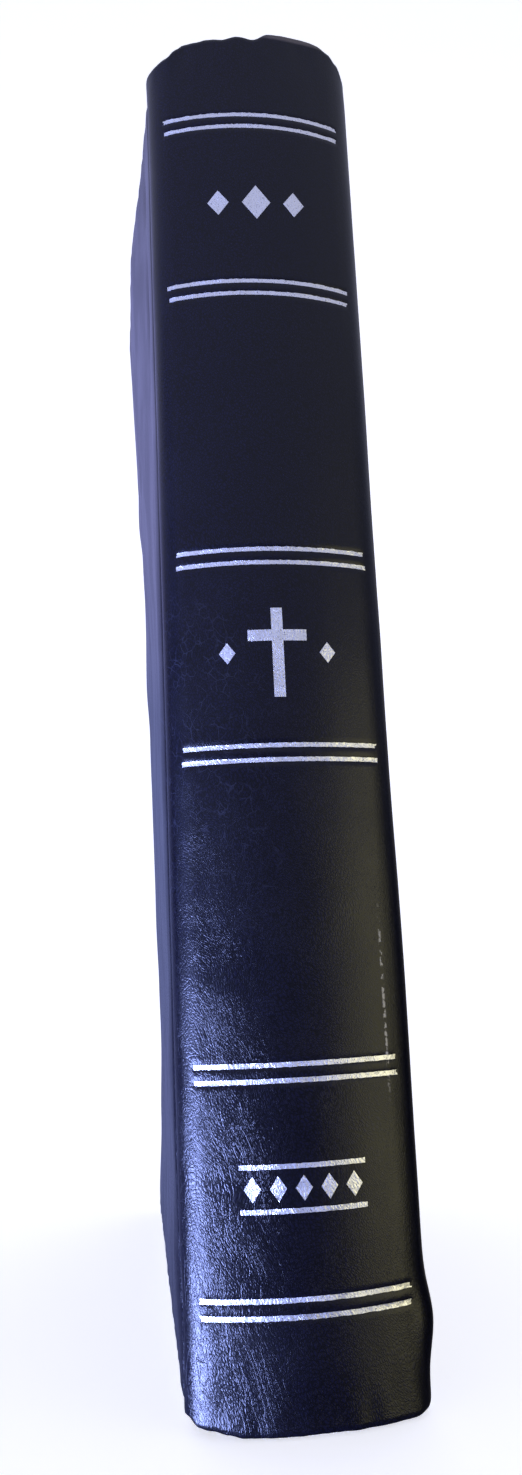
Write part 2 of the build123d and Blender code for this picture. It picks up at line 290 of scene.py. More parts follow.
# ---------------------------------------------------------------------------------------------
# Rows up the case: close at the ends for the covers' round corners, and at each stamped rule
# ---------------------------------------------------------------------------------------------
ROW_STEP = 0.75
CORNER_TURNS = [math.radians(a) for a in (0, 6, 12, 19, 27, 36, 46, 57, 68, 79, 90)]
INNER_CORNER = CORNER - EDGE_ROLL


def case_rows():
    ends = [EDGE_ROLL + INNER_CORNER * (1 - math.cos(a)) for a in CORNER_TURNS]
    rows = ends + [HEIGHT - z for z in ends]
    edge = RULE_WIDTH / 2
    for middle in RULE_HEIGHTS:
        for step in (-1, 1):
            centre = middle + step * RULE_SPACING / 2
            rows += [centre - edge - 0.1, centre - edge, centre + edge, centre + edge + 0.1]
    fixed = sorted(rows)
    filled = []
    for low, high in zip(fixed, fixed[1:]):
        parts = max(1, math.ceil((high - low) / ROW_STEP))
        filled += [low + (high - low) * k / parts for k in range(parts)]
    return filled + [fixed[-1]]


ROWS = case_rows()


def spread(start, end, step, fine_start=False, fine_end=False):
    """Stations from start to end, closer together at a seam so that shading runs across it."""
    stops = [start]
    if fine_start:
        stops += [start + d for d in (0.06, 0.16, 0.34)]
    tail = [end - d for d in (0.34, 0.16, 0.06)] if fine_end else []
    first = stops[-1]
    last = tail[0] if tail else end
    parts = max(1, math.ceil((last - first) / step))
    stops += [first + (last - first) * k / parts for k in range(1, parts + 1)]
    return stops + tail[1:] + ([end] if tail else [])


# ---------------------------------------------------------------------------------------------
# Meshes
# ---------------------------------------------------------------------------------------------


def make_piece(name, points, faces, materials, face_slots=None, flat=False):
    """A mesh object from points that are already in metres."""
    mesh = bpy.data.meshes.new(name)
    mesh.from_pydata(points, [], faces)
    for material in materials:
        mesh.materials.append(material)
    if face_slots:
        mesh.polygons.foreach_set("material_index", face_slots)
    mesh.polygons.foreach_set("use_smooth", [not flat] * len(mesh.polygons))
    mesh.update()
    piece = bpy.data.objects.new(name, mesh)
    bpy.context.scene.collection.objects.link(piece)
    return piece


def sheet_faces(columns, ring, closed_ring=True, first=0):
    """Quads between neighbouring columns of ring points each."""
    faces = []
    turns = ring if closed_ring else ring - 1
    for c in range(columns - 1):
        a, b = first + c * ring, first + (c + 1) * ring
        for k in range(turns):
            n = (k + 1) % ring
            faces.append((a + k, b + k, b + n, a + n))
    return faces


def turned(faces):
    return [tuple(reversed(face)) for face in faces]


def strip_caps(ring, last, turn_first):
    """Closes both ends of a strip whose rings run along one of its faces and back along the other."""
    caps = []
    for first in (0, last):
        back = first + ring - 1
        cap = [(first + k, first + k + 1, back - k - 1, back - k) for k in range(ring // 2 - 1)]
        caps += turned(cap) if (first == 0) == turn_first else cap
    return caps


def sharpen(piece, degrees=40.0):
    """Keeps hard edges hard while the rest shades smooth."""
    mesh = piece.data
    limit = math.cos(math.radians(degrees))
    sides = {}
    for polygon in mesh.polygons:
        for key in polygon.edge_keys:
            sides.setdefault(key, []).append(polygon.normal.copy())
    for edge in mesh.edges:
        meeting = sides.get(tuple(sorted(edge.vertices)), [])
        edge.use_edge_sharp = len(meeting) == 2 and meeting[0].dot(meeting[1]) < limit


# ---------------------------------------------------------------------------------------------
# Materials
# ---------------------------------------------------------------------------------------------


class Nodes:
    """A short way to build one node tree."""

    def __init__(self, tree):
        self.tree = tree
        self.tree.nodes.clear()

    def add(self, kind, inputs=None, **settings):
        node = self.tree.nodes.new(kind)
        for key, value in settings.items():
            setattr(node, key, value)
        for key, value in (inputs or {}).items():
            self.feed(node, key, value)
        return node

    def feed(self, node, key, value):
        socket = node.inputs[key]
        if isinstance(value, bpy.types.NodeSocket):
            self.tree.links.new(value, socket)
        elif isinstance(value, bpy.types.Node):
            self.tree.links.new(value.outputs[0], socket)
        else:
            socket.default_value = value

    def math(self, operation, a, b=0.0, clamp=False):
        node = self.add("ShaderNodeMath", operation=operation, use_clamp=clamp)
        self.feed(node, 0, a)
        self.feed(node, 1, b)
        return node.outputs[0]

    def ramp(self, value, low, high, start=0.0, end=1.0):
        return self.add(
            "ShaderNodeMapRange",
            {"Value": value, "From Min": low, "From Max": high, "To Min": start, "To Max": end},
            interpolation_type="SMOOTHSTEP",
        ).outputs[0]

    def colours(self, factor, first, second):
        node = self.add("ShaderNodeMix", data_type="RGBA")
        self.feed(node, 0, factor)
        self.feed(node, 6, first)
        self.feed(node, 7, second)
        return node.outputs[2]


def new_group(name, inputs, outputs):
    """A shader node group with named number inputs, and outputs given as (name, socket type)."""
    tree = bpy.data.node_groups.new(name, "ShaderNodeTree")
    nodes = Nodes(tree)
    for label, value in inputs:
        socket = tree.interface.new_socket(name=label, in_out="INPUT", socket_type="NodeSocketFloat")
        socket.default_value = value
    for label, kind in outputs:
        tree.interface.new_socket(name=label, in_out="OUTPUT", socket_type=kind)
    return nodes, nodes.add("NodeGroupInput"), nodes.add("NodeGroupOutput")


def in_millimetres(nodes):
    where = nodes.add("ShaderNodeTexCoord").outputs["Object"]
    return nodes.add("ShaderNodeVectorMath", {0: where, 1: (1000.0, 1000.0, 1000.0)}, operation="MULTIPLY")


def wandering(nodes, vector, scale, reach):
    """The same places, pushed about by soft noise."""
    warp = nodes.add("ShaderNodeTexNoise", {"Vector": vector, "Scale": scale, "Detail": 1.0})
    middle_grey = (0.5, 0.5, 0.5)
    shift = nodes.add("ShaderNodeVectorMath", {0: warp.outputs["Color"], 1: middle_grey}, operation="SUBTRACT")
    shift = nodes.add("ShaderNodeVectorMath", {0: shift, "Scale": reach}, operation="SCALE")
    return nodes.add("ShaderNodeVectorMath", {0: vector, 1: shift}, operation="ADD")


def leaning(nodes, vector, lean, stretch):
    """Places turned by a lean from the upright and stretched along it."""
    turned_to = nodes.add("ShaderNodeVectorRotate", {"Vector": vector, "Angle": lean}, rotation_type="Y_AXIS")
    return nodes.add("ShaderNodeVectorMath", {0: turned_to, 1: stretch}, operation="MULTIPLY")


def crease_lines(nodes, vector, lean, across, along_rate):
    """Thin broken lines that run with a lean."""
    where = leaning(nodes, vector, lean, (across, across, along_rate))
    streak = nodes.add("ShaderNodeTexNoise", {"Vector": where, "Scale": 1.0, "Detail": 0.8, "Roughness": 0.4})
    centred = nodes.math("ABSOLUTE", nodes.math("SUBTRACT", streak.outputs["Fac"], 0.5))
    return nodes.ramp(centred, 0.0, 0.022, 1.0, 0.0)


def hide_grain_group():
    """Pebble grain, the valleys between its cells, and long creases that lean down to the right."""
    nodes, given, result = new_group(
        "hide grain",
        [("Cells per mm", 2.2), ("Crease", 1.0)],
        [
            ("Height", "NodeSocketFloat"), ("Valley", "NodeSocketFloat"), ("Patch", "NodeSocketFloat"),
            ("Crackle", "NodeSocketFloat"),
        ],
    )
    in_mm = in_millimetres(nodes)
    bent = wandering(nodes, in_mm, 0.11, 5.0)
    jittered = wandering(nodes, bent, 1.1, 0.4)
    cells = nodes.add(
        "ShaderNodeTexVoronoi",
        {
            "Vector": leaning(nodes, jittered, 0.5, (1.0, 1.0, 0.5)),
            "Scale": given.outputs["Cells per mm"], "Randomness": 0.95,
        },
        feature="DISTANCE_TO_EDGE",
    )
    pebble = nodes.ramp(cells.outputs["Distance"], 0.0, 0.3)
    steep = crease_lines(nodes, bent, 0.26, 0.80, 0.06)
    slanting = crease_lines(nodes, bent, 0.62, 0.60, 0.08)
    side_on = nodes.add("ShaderNodeSeparateXYZ", {"Vector": in_mm}).outputs["X"]
    near_joint = nodes.ramp(side_on, -14.0, -8.0, 1.0, 0.25)
    lines = nodes.math("MAXIMUM", steep, nodes.math("MULTIPLY", slanting, near_joint))
    patch = nodes.add("ShaderNodeTexNoise", {"Vector": in_mm, "Scale": 0.07, "Detail": 2.0})
    creased = nodes.math("MULTIPLY", lines, given.outputs["Crease"])
    height = nodes.math("SUBTRACT", pebble, nodes.math("MULTIPLY", creased, 1.3))
    nodes.feed(result, "Height", height)
    nodes.feed(result, "Valley", nodes.math("SUBTRACT", 1.0, pebble))
    nodes.feed(result, "Patch", patch.outputs["Fac"])
    plates = nodes.add(
        "ShaderNodeTexVoronoi",
        {"Vector": leaning(nodes, jittered, 0.3, (1.0, 1.0, 0.6)), "Scale": 0.9, "Randomness": 1.0},
        feature="DISTANCE_TO_EDGE",
    )
    cracks = nodes.ramp(plates.outputs["Distance"], 0.012, 0.05, 1.0, 0.0)
    broken = nodes.add("ShaderNodeTexNoise", {"Vector": in_mm, "Scale": 0.5, "Detail": 2.0})
    cracks = nodes.math("MULTIPLY", cracks, nodes.ramp(broken.outputs["Fac"], 0.40, 0.62))
    nodes.feed(result, "Crackle", cracks)
    return nodes.tree


def speckle_group():
    """Small uneven spots, for foil that lies over grain and for paper fibre."""
    nodes, given, result = new_group(
        "speckle",
        [("Spots per mm", 3.0), ("Share", 0.5)],
        [("Spots", "NodeSocketFloat"), ("Cloud", "NodeSocketFloat")],
    )
    in_mm = in_millimetres(nodes)
    spots = nodes.add(
        "ShaderNodeTexNoise",
        {"Vector": in_mm, "Scale": given.outputs["Spots per mm"], "Detail": 2.0, "Roughness": 0.6},
    )
    over = nodes.math("SUBTRACT", spots.outputs["Fac"], given.outputs["Share"])
    cloud = nodes.add("ShaderNodeTexNoise", {"Vector": in_mm, "Scale": 0.25, "Detail": 2.0})
    nodes.feed(result, "Spots", nodes.ramp(over, 0.0, 0.08))
    nodes.feed(result, "Cloud", cloud.outputs["Fac"])
    return nodes.tree


HIDE_GRAIN = hide_grain_group()
SPECKLE = speckle_group()


def new_material(name):
    material = bpy.data.materials.new(name)
    material.use_nodes = True
    nodes = Nodes(material.node_tree)
    shader = nodes.add("ShaderNodeBsdfPrincipled")
    nodes.add("ShaderNodeOutputMaterial", {"Surface": shader})
    return material, nodes, shader


def grained(nodes, cells, crease):
    return nodes.add("ShaderNodeGroup", {"Cells per mm": cells, "Crease": crease}, node_tree=HIDE_GRAIN)


def speckled(nodes, spots, share):
    return nodes.add("ShaderNodeGroup", {"Spots per mm": spots, "Share": share}, node_tree=SPECKLE)


def raise_surface(nodes, shader, height, strength, distance):
    """Bumps a material's surface by a height, over a distance in metres."""
    bump = nodes.add("ShaderNodeBump", {"Height": height, "Strength": strength, "Distance": distance})
    nodes.feed(shader, "Normal", bump.outputs[0])


def cover_hide():
    """Black bonded leather with a navy cast, creased most towards the tail on the back cover's side."""
    material, nodes, shader = new_material("cover hide")
    where = nodes.add("ShaderNodeTexCoord").outputs["Object"]
    place_of = nodes.add("ShaderNodeSeparateXYZ", {"Vector": where})
    low = nodes.ramp(place_of.outputs["Z"], 0.02, 0.105, 1.0, 0.08)
    left = nodes.ramp(place_of.outputs["X"], -0.013, 0.002, 1.0, 0.2)
    worn = nodes.math("MULTIPLY", low, left)
    grain = grained(nodes, 3.4, worn)
    base = nodes.colours(grain.outputs["Patch"], (0.0017, 0.0018, 0.0066, 1), (0.0023, 0.0024, 0.0088, 1))
    # The valleys between the grain's cells are painted darker: a painted shade in the hollows.
    base = nodes.colours(grain.outputs["Valley"], base, (0.0006, 0.0006, 0.0016, 1))
    # Cracks in the leather drawn lighter and bluish on the left, 50 to 122 mm up: a painted sheen along them.
    crackle_sheen = nodes.math("MULTIPLY", left, nodes.ramp(place_of.outputs["Z"], 0.104, 0.122, 1.0, 0.0))
    crackle_sheen = nodes.math("MULTIPLY", crackle_sheen, nodes.ramp(place_of.outputs["Z"], 0.050, 0.075))
    crackle_sheen = nodes.math("MULTIPLY", crackle_sheen, grain.outputs["Crackle"])
    base = nodes.colours(crackle_sheen, base, (0.0080, 0.0088, 0.0165, 1))
    lip = nodes.ramp(place_of.outputs["Z"], 0.2108, 0.2114)
    rubbed = nodes.math("MULTIPLY", lip, nodes.ramp(place_of.outputs["X"], 0.001, 0.004))
    base = nodes.colours(rubbed, base, (0.055, 0.046, 0.043, 1))
    # A thin broken warm line 13 mm right of the middle, 40 to 70 mm up: a painted glint of the warm lamp.
    from_ridge = nodes.math("ABSOLUTE", nodes.math("SUBTRACT", place_of.outputs["X"], 0.0130))
    ridge_glint = nodes.ramp(from_ridge, 0.00005, 0.0003, 1.0, 0.0)
    ridge_glint = nodes.math("MULTIPLY", ridge_glint, nodes.ramp(place_of.outputs["Z"], 0.040, 0.047))
    ridge_glint = nodes.math("MULTIPLY", ridge_glint, nodes.ramp(place_of.outputs["Z"], 0.060, 0.070, 1.0, 0.0))
    specks = nodes.add("ShaderNodeTexNoise", {"Vector": where, "Scale": 1500.0, "Detail": 1.0})
    ridge_glint = nodes.math("MULTIPLY", ridge_glint, nodes.ramp(specks.outputs["Fac"], 0.48, 0.60))
    base = nodes.colours(ridge_glint, base, (0.22, 0.20, 0.15, 1))
    rough = nodes.ramp(grain.outputs["Patch"], 0.3, 0.7, 0.29, 0.35)
    # Less specular in both joints' grooves towards the tail: a painted shade that dims the leather's reflection
    # there.
    sideways = nodes.math("ABSOLUTE", place_of.outputs["X"])
    in_joint = nodes.math(
        "MULTIPLY", nodes.ramp(sideways, 0.0154, 0.0162), nodes.ramp(place_of.outputs["Z"], 0.10, 0.15, 1.0, 0.0),
    )
    in_joint = nodes.math(
        "MULTIPLY", in_joint, nodes.ramp(place_of.outputs["Y"], CROWN_Y + 0.013, CROWN_Y + 0.022, 1.0, 0.0),
    )
    nodes.feed(shader, "Specular IOR Level", nodes.ramp(in_joint, 0.0, 1.0, 0.35, 0.16))
    nodes.feed(shader, "Base Color", base)
    nodes.feed(shader, "Roughness", rough)
    strength = nodes.math("ADD", nodes.math("MULTIPLY", worn, 0.15), 0.07)
    height = nodes.math("MULTIPLY", grain.outputs["Height"], strength)
    raise_surface(nodes, shader, height, 1.0, 0.0001)
    return material


def silver_foil():
    """Stamped foil, broken in places by the grain under it."""
    material, nodes, shader = new_material("silver foil")
    spots = speckled(nodes, 5.0, 0.60)
    base = nodes.colours(spots.outputs["Spots"], (0.94, 0.94, 0.98, 1), (0.30, 0.30, 0.36, 1))
    nodes.feed(shader, "Base Color", base)
    nodes.feed(shader, "Roughness", nodes.ramp(spots.outputs["Cloud"], 0.3, 0.7, 0.40, 0.47))
    shader.inputs["Metallic"].default_value = 1.0
    grain = grained(nodes, 2.4, 0.0)
    raise_surface(nodes, shader, grain.outputs["Height"], 0.5, 0.00005)
    return material


def plain_paper(name, light, dark, roughness=0.75):
    material, nodes, shader = new_material(name)
    spots = speckled(nodes, 1.6, 0.5)
    nodes.feed(shader, "Base Color", nodes.colours(spots.outputs["Cloud"], light, dark))
    nodes.feed(shader, "Roughness", nodes.ramp(spots.outputs["Spots"], 0.0, 1.0, roughness, roughness + 0.1))
    shader.inputs["Specular IOR Level"].default_value = 0.3
    raise_surface(nodes, shader, spots.outputs["Spots"], 0.15, 0.00003)
    return material


def silvered_edge():
    """Page edges with a rubbed silver finish."""
    material, nodes, shader = new_material("silvered page edge")
    spots = speckled(nodes, 2.2, 0.56)
    silver, rubbed = (0.72, 0.73, 0.76, 1), (0.58, 0.58, 0.6, 1)
    nodes.feed(shader, "Base Color", nodes.colours(spots.outputs["Spots"], silver, rubbed))
    nodes.feed(shader, "Roughness", nodes.ramp(spots.outputs["Cloud"], 0.3, 0.7, 0.3, 0.42))
    shader.inputs["Metallic"].default_value = 0.85
    return material


def woven(name, light, dark, threads_per_mm, roughness=0.8, gloss=0.0):
    """Cloth of crossing threads."""
    material, nodes, shader = new_material(name)
    where = nodes.add("ShaderNodeTexCoord").outputs["Object"]
    scale = threads_per_mm * 1000 / 20 * math.tau / 2
    waves = []
    for direction in ("X", "Z"):
        wave = nodes.add(
            "ShaderNodeTexWave",
            {"Vector": where, "Scale": scale, "Distortion": 0.4, "Detail": 1.0},
            wave_type="BANDS", bands_direction=direction,
        )
        waves.append(wave.outputs["Fac"])
    weave = nodes.math("MAXIMUM", waves[0], waves[1])
    nodes.feed(shader, "Base Color", nodes.colours(weave, dark, light))
    nodes.feed(shader, "Roughness", nodes.ramp(weave, 0.0, 1.0, roughness, roughness - 0.12))
    shader.inputs["Sheen Weight"].default_value = 0.25
    shader.inputs["Coat Weight"].default_value = gloss
    raise_surface(nodes, shader, weave, 0.6, 0.00006)
    return material


HIDE = cover_hide()
FOIL = silver_foil()
PAGE = plain_paper("bible paper", (0.83, 0.81, 0.73, 1), (0.78, 0.755, 0.67, 1))
ENDPAPER = plain_paper("black endpaper", (0.020, 0.020, 0.027, 1), (0.013, 0.013, 0.018, 1), 0.62)
CARD = plain_paper("spine card", (0.42, 0.35, 0.24, 1), (0.35, 0.29, 0.20, 1))
BOARD = plain_paper("flexible board", (0.10, 0.09, 0.08, 1), (0.07, 0.065, 0.06, 1))
KRAFT = plain_paper("kraft lining", (0.45, 0.37, 0.25, 1), (0.38, 0.31, 0.21, 1))
EDGE = silvered_edge()
GAUZE = woven("binding gauze", (0.72, 0.69, 0.60, 1), (0.35, 0.33, 0.28, 1), 1.0)
THREAD = woven("sewing thread", (0.80, 0.78, 0.72, 1), (0.60, 0.58, 0.52, 1), 4.0)
RIBBON = woven("satin ribbon", (0.020, 0.026, 0.085, 1), (0.008, 0.010, 0.035, 1), 5.0, 0.45, 0.3)
BAND_DARK = woven("band thread dark", (0.020, 0.020, 0.035, 1), (0.010, 0.010, 0.018, 1), 6.0)
BAND_LIGHT = woven("band thread light", (0.62, 0.62, 0.66, 1), (0.40, 0.40, 0.45, 1), 6.0)

for node_name, finish in (
    ("spine_inlay", CARD), ("spine_lining", KRAFT), ("spine_gauze", GAUZE), ("sewing_threads", THREAD),
    ("front_endpaper_strip", ENDPAPER), ("back_endpaper_strip", ENDPAPER),
):
    node = frame["nodes"][node_name]
    node.data.materials.clear()
    node.data.materials.append(finish)


# ---------------------------------------------------------------------------------------------
# Leather over the spine, the shoulders and the joints
# ---------------------------------------------------------------------------------------------
ROLL_TURNS = [math.radians(a) for a in (22, 45, 67, 90, 113, 135, 158)]
HIDE_THICKNESS = 0.96
SPINE_STEP = 0.55  # between stations of leather round the spine
JOINT_STEP = 0.42
# Along s: how thick the leather's turned-over edge is
EDGE_THICKNESS = (
    (0.0, 1.9), (RULE_END, 1.9), (GROOVE_START, 1.6), (GROOVE_START + GROOVE_HALF, 1.3), (PANEL_START, 2.3),
)


def edge_thickness(s):
    """The leather doubled over at head and tail, thinner in the joint."""
    run = abs(s)
    for (start, thick), (end, next_thick) in zip(EDGE_THICKNESS, EDGE_THICKNESS[1:]):
        if run <= end:
            return thick + (next_thick - thick) * smooth(start, end, run)
    return EDGE_THICKNESS[-1][1]


def rolled_over(turn, squareness=0.75):
    """How far the turned-over edge reaches at one turn of its roll, a little squarer than round."""
    return EDGE_ROLL * math.sin(turn) ** squareness


def skin_ring(s):
    """One closed loop of leather at s: up its face, over the head, down its back and under the tail."""
    thick = edge_thickness(s)
    head, tail = ROWS[-1], ROWS[0]
    ring = [skin_point(s, z, 0.0) for z in ROWS]
    ring += [skin_point(s, head + rolled_over(a), thick / 2 * (1 - math.cos(a))) for a in ROLL_TURNS]
    for z in reversed(ROWS):
        inside = min(z, HEIGHT - z)
        ring.append(skin_point(s, z, thick if inside < TURN_IN else HIDE_THICKNESS))
    ring += [skin_point(s, tail - rolled_over(a, 0.45), thick / 2 * (1 + math.cos(a))) for a in ROLL_TURNS]
    return ring


def end_cap(first):
    """Closes a ring of rows and rolls with quads across its thickness."""
    rows = len(ROWS)
    rolls = len(ROLL_TURNS)
    faces = []
    back = rows + rolls + rows - 1
    for k in range(rows - 1):
        faces.append((first + k, first + k + 1, first + back - k - 1, first + back - k))
    head = [first + k for k in range(rows - 1, rows + rolls + 1)]
    tail = [first + k for k in range(back, back + rolls + 1)] + [first]
    return faces + [tuple(head), tuple(tail)]


def skin_strip(name, stations):
    points = []
    for s in stations:
        points += skin_ring(s)
    ring = len(points) // len(stations)
    faces = sheet_faces(len(stations), ring)
    last = (len(stations) - 1) * ring
    faces += turned(end_cap(0)) + end_cap(last)
    if stations[-1] < stations[0]:
        faces = turned(faces)
    piece = make_piece(name, points, faces, [HIDE])
    sharpen(piece, 60.0)
    return piece


def make_spine_skin():
    stations = spread(-SKIN_SEAM, 0.0, SPINE_STEP, fine_start=True)
    stations += spread(0.0, SKIN_SEAM, SPINE_STEP, fine_end=True)[1:]
    piece = skin_strip("spine_skin", stations)
    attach(piece, "spine")
    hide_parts("spine_leather")


def make_joint_skin(side):
    name = SIDE_NAMES[side]
    stations = [side * s for s in spread(SKIN_SEAM, JOINT_SEAM, JOINT_STEP, fine_start=True, fine_end=True)]
    piece = skin_strip(f"{name}_joint_skin", stations)
    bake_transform(piece)
    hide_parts(f"{name}_joint_leather")


# ---------------------------------------------------------------------------------------------
# Covers: leather wrapped round a board, with a pasted-down endpaper
# ---------------------------------------------------------------------------------------------


def rim(inset, radius):
    """How deep a cover reaches at each row, for an outline moved in by inset."""
    low, high = inset, HEIGHT - inset
    far = DEPTH - inset

    def reach(z):
        down = max(0.0, radius - min(z - low, high - z))
        return far - radius + math.sqrt(max(0.0, radius * radius - down * down))

    return reach


def cover_point(side, v, z, depth):
    """A point of a cover at depth v, a distance below its outer face."""
    if v <= PANEL_V:
        raise ValueError("the panel starts past the joint")
    return skin_point(side * run_of(v), z, depth, side * HALF, v)


CORNER_V = DEPTH - CORNER  # where a cover's round corners begin


def outward(v, z):
    """Which way the edge faces, in the cover's own plane."""
    dv = v - CORNER_V if v > CORNER_V + 1e-6 else 0.0
    middle = min(max(z, CORNER), HEIGHT - CORNER)
    dz = z - middle
    length = math.hypot(dv, dz)
    return (dv / length, dz / length) if length > 1e-9 else (1.0, 0.0)


def inset_place(v, z, dv, dz, inset):
    """The same place on an outline moved in, with its corner kept at least a little round."""
    radius = max(CORNER - inset, 1.2)
    far = DEPTH - inset - radius
    low, high = inset + radius, HEIGHT - inset - radius
    if v > CORNER_V + 1e-6 and (z < CORNER or z > HEIGHT - CORNER):
        centre_z = low if z < CORNER else high
        return far + radius * dv, centre_z + radius * dz
    if v > CORNER_V + 1e-6:
        share = (z - CORNER) / (HEIGHT - 2 * CORNER)
        return far + radius, low + share * (high - low)
    share = (v - PANEL_V) / (CORNER_V - PANEL_V)
    new_v = v if v <= PANEL_V else PANEL_V + share * (far - PANEL_V)
    return new_v, (inset if z < HEIGHT / 2 else HEIGHT - inset)


UNDERSIDE_INSET = TURN_IN + 2.0  # where the turned-in edge gives way to the leather's plain underside
POCKET_INSET = 1.2  # how near the cover's edge the board's pocket reaches
PANEL_STEPS = [0.0, 0.004, 0.012, 0.028, 0.05, 0.08] + [0.08 + 0.92 * k / 62 for k in range(1, 63)]


def make_cover_skin(side):
    """The cover's leather, from the joint's seam to its turned-in edges."""
    name = SIDE_NAMES[side]
    joint = spread(JOINT_SEAM, PANEL_START, JOINT_STEP, fine_start=True)
    reach = rim(EDGE_ROLL, INNER_CORNER)
    points = []
    columns = []
    for s in joint:
        columns.append([skin_point(side * s, z, 0.0) for z in ROWS])
    first_v = PANEL_V + 0.05
    for share in PANEL_STEPS[1:]:
        columns.append([cover_point(side, first_v + share * (reach(z) - first_v), z, 0.0) for z in ROWS])
    rows = len(ROWS)
    for column in columns:
        points += column
    faces = sheet_faces(len(columns), rows, closed_ring=False)
    face_end = len(columns) - 1

    def at(column, row):
        return column * rows + row

    # The columns and rows along the face's own edge, from where the rim carries on
    edge_places = [(c, 0) for c in range(face_end + 1)]
    edge_places += [(face_end, r) for r in range(1, rows)]
    edge_places += [(c, rows - 1) for c in range(face_end - 1, -1, -1)]

    def flat_place(c, r):
        """The run, depth v and height of one edge point before it is wrapped."""
        if c < len(joint):
            s = joint[c]
            return s, outline(s)[1], ROWS[r]
        v = first_v + PANEL_STEPS[c - len(joint) + 1] * (reach(ROWS[r]) - first_v)
        return run_of(v), v, ROWS[r]

    flats = [flat_place(c, r) for c, r in edge_places]

    def wrapped(out, inset, depth_share=None, depth=None):
        """A loop of points moved out from the face's edge, or in from it, at one depth."""
        loop = []
        for (s, v, z), (_, r) in zip(flats, edge_places):
            thick = edge_thickness(s)
            d = depth if depth is not None else depth_share * thick
            if depth is not None and s < PANEL_START:
                d = min(d, thick)
            dv, dz = outward(v, z)
            if s <= PANEL_START:
                dv, dz = 0.0, (1.0 if r else -1.0)
            if inset > 0:
                new_v, new_z = inset_place(v, z, dv, dz, inset)
            else:
                new_v, new_z = v + dv * out, z + dz * out
            if s <= PANEL_START:
                loop.append(skin_point(side * s, new_z, d))
            else:
                loop.append(skin_point(side * run_of(new_v), new_z, d, side * HALF, new_v))
        return loop

    loops = []
    for a in ROLL_TURNS:
        loops.append(wrapped(rolled_over(a), 0.0, depth_share=(1 - math.cos(a)) / 2))
    loops.append(wrapped(0.0, 0.0, depth_share=1.0))
    for inset in (3.0, 6.0, TURN_IN):
        loops.append(wrapped(0.0, inset, depth_share=1.0))
    thick = edge_thickness(PANEL_START)
    loops.append(wrapped(0.0, TURN_IN, depth=thick - FLAP))
    loops.append(wrapped(0.0, POCKET_INSET, depth=thick - FLAP))
    loops.append(wrapped(0.0, POCKET_INSET, depth=HIDE_THICKNESS))
    loops.append(wrapped(0.0, UNDERSIDE_INSET, depth=HIDE_THICKNESS))
    previous = [at(c, r) for c, r in edge_places]
    for loop in loops:
        first = len(points)
        points += loop
        current = list(range(first, first + len(loop)))
        for k in range(len(loop) - 1):
            faces.append((previous[k], current[k], current[k + 1], previous[k + 1]))
        previous = current
    # The underside lies on the same rows and columns as the face, so that it follows the cover's bow
    first = len(points)
    for c in range(face_end):
        s, v, z = flats[c]
        for r in range(1, rows - 1):
            _, side_v, side_z = flats[face_end + r]
            far_v, new_z = inset_place(side_v, side_z, *outward(side_v, side_z), UNDERSIDE_INSET)
            if s <= PANEL_START:
                points.append(skin_point(side * s, new_z, min(HIDE_THICKNESS, edge_thickness(s))))
                continue
            new_v = PANEL_V + (v - PANEL_V) / (CORNER_V - PANEL_V) * (far_v - PANEL_V)
            points.append(skin_point(side * run_of(new_v), new_z, HIDE_THICKNESS, side * HALF, new_v))

    def under(c, r):
        """The number of one underside point, some of which are the last loop's."""
        if r == 0:
            return previous[c]
        if c == face_end:
            return previous[face_end + r]
        if r == rows - 1:
            return previous[len(previous) - 1 - c]
        return first + c * (rows - 2) + r - 1

    for c in range(face_end):
        for r in range(rows - 1):
            faces.append((under(c, r), under(c, r + 1), under(c + 1, r + 1), under(c + 1, r)))
    if side == BACK:
        faces = turned(faces)
    piece = make_piece(f"{name}_cover_skin", points, faces, [HIDE])
    sharpen(piece, 60.0)
    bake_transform(piece)
    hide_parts(f"{name}_cover_leather")


def make_plate(name, side, start_v, inset, corner, near, thick, material, steps=44):
    """A thin plate that bows with its cover. near is how deep its outer face lies under the leather's face."""
    low, high = inset, HEIGHT - inset
    reach = rim(inset, corner)
    turns = [math.radians(a) for a in range(0, 91, 10)]
    rows = [low + corner * (1 - math.cos(a)) for a in turns]
    parts = 60
    rows += [low + corner + (high - low - 2 * corner) * k / parts for k in range(1, parts)]
    rows += [high - corner * (1 - math.cos(a)) for a in reversed(turns)]
    points = []
    for k in range(steps + 1):
        share = k / steps
        ring = []
        for depth, order in ((near, rows), (near + thick, rows[::-1])):
            for z in order:
                v = start_v + share * (reach(z) - start_v)
                ring.append(place(side * (HALF - depth + cover_bow(side, v, z)), v, z))
        points += ring
    ring = 2 * len(rows)
    faces = sheet_faces(steps + 1, ring) + strip_caps(ring, steps * ring, turn_first=True)
    if side == BACK:
        faces = turned(faces)
    piece = make_piece(name, points, faces, [material])
    sharpen(piece, 35.0)
    return piece


BOARD_INSET = 1.3
BOARD_NEAR = 1.0
PASTED_INSET = 3.0
PASTED_THICKNESS = 0.2


def make_board(side):
    name = SIDE_NAMES[side]
    thick = HALF - COVER_INNER - BOARD_NEAR - FLAP - 0.02
    corner = CORNER - BOARD_INSET
    piece = make_plate(
        f"{name}_limp_board", side, PANEL_V + 0.1, BOARD_INSET, corner, BOARD_NEAR, thick, BOARD,
    )
    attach(piece, f"{name}_cover")
    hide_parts(f"{name}_board")


def make_pastedown(side):
    name = SIDE_NAMES[side]
    near = edge_thickness(PANEL_START) + 0.05
    corner = CORNER - PASTED_INSET
    piece = make_plate(
        f"{name}_pasted_leaf", side, PANEL_V + 0.2, PASTED_INSET, corner, near, PASTED_THICKNESS, ENDPAPER,
    )
    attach(piece, f"{name}_cover")
    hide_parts(f"{name}_pastedown")


